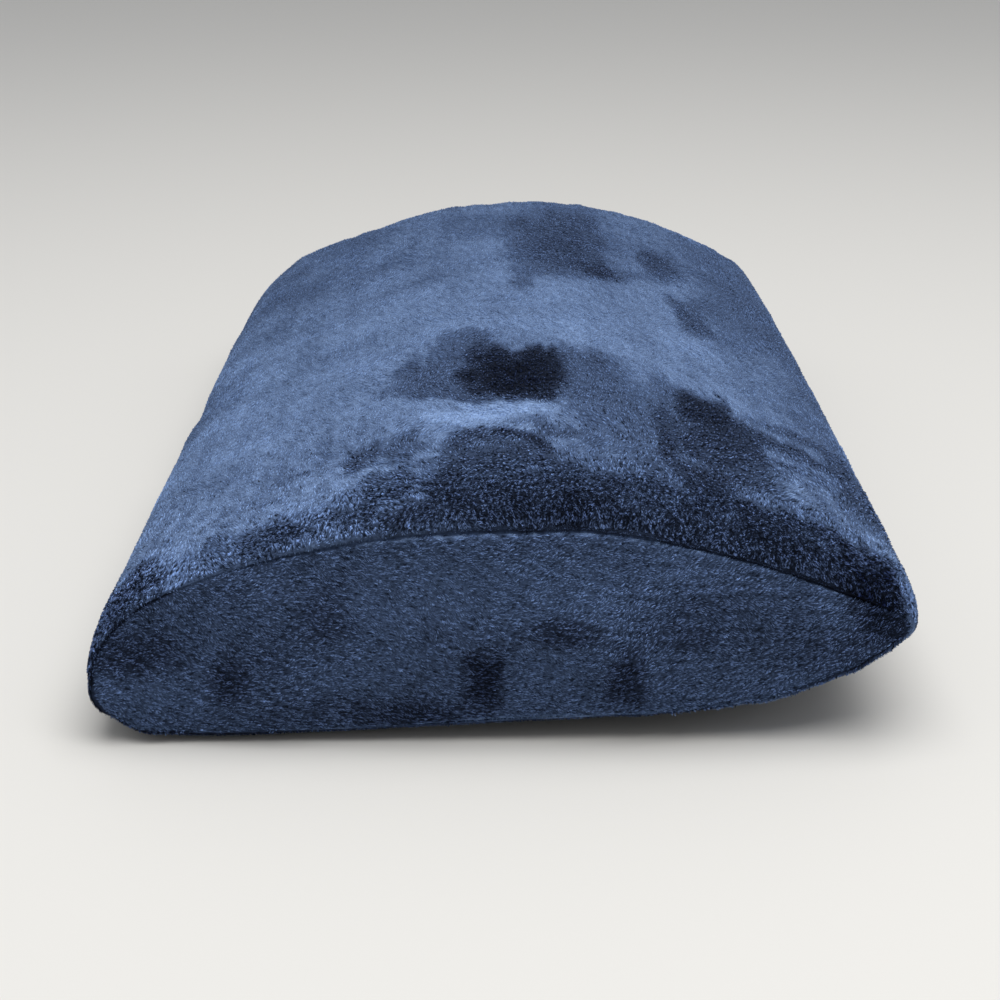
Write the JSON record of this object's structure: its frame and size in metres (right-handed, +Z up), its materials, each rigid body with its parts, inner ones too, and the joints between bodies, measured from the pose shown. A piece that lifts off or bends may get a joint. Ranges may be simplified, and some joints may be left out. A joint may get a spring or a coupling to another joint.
{
  "type": "lumbar pillow",
  "caption": "Half-round lumbar pillow in a short-pile plush cover, a wrap panel with sewn-in lens-shaped end panels, lying on its flat base; supports the lower back.",
  "frame": {"origin": "centre of the pillow's box at the level of its base, on the surface that it lies on", "axes": "+Y along the pillow towards its far end, +X towards the thin edge that lifts off the surface, +Z up"},
  "size_m": [0.2304, 0.402, 0.0768],
  "materials": {
    "plush": "navy short-pile plush with a soft sheen and brushed nap"
  },
  "bodies": {
    "root": {"pillow": "plush"}
  },
  "joints": []
}
